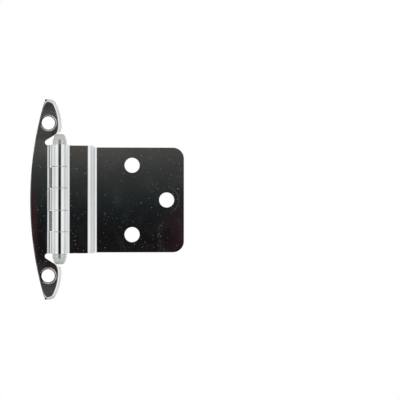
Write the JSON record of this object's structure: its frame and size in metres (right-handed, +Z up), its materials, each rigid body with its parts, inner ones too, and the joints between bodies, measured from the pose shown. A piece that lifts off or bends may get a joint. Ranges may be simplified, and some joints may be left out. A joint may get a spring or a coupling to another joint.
{
  "type": "offset cabinet hinge",
  "caption": "Chrome offset hinge for a lipped cabinet door: a bowed, domed frame wing and a cranked door plate with rolled knuckles on a pin with button tips.",
  "frame": {"origin": "midway between the two frame screws, on the plane in which the wing seats on the cabinet's face frame", "axes": "+X from the frame screws towards the door, +Y into the cabinet (the wing's back faces +Y), +Z up along the hinge pin"},
  "size_m": [0.0559, 0.0204, 0.07],
  "materials": {
    "leaf_chrome": "polished chrome plate with fine handling scratches",
    "pin_steel": "drawn steel, plated",
    "tip_nickel": "satin nickel plate"
  },
  "bodies": {
    "frame": {"frame_leaf": "leaf_chrome", "hinge_pin": "pin_steel", "upper_tip": "tip_nickel", "lower_tip": "tip_nickel"},
    "door": {"door_leaf": "leaf_chrome"}
  },
  "joints": [
    {"name": "door_swing", "type": "hinge", "parent": "frame", "child": "door", "pos_m": [0.0034, -0.006, 0], "axis": [0, 0, -1], "range_deg": [0, 225]}
  ]
}
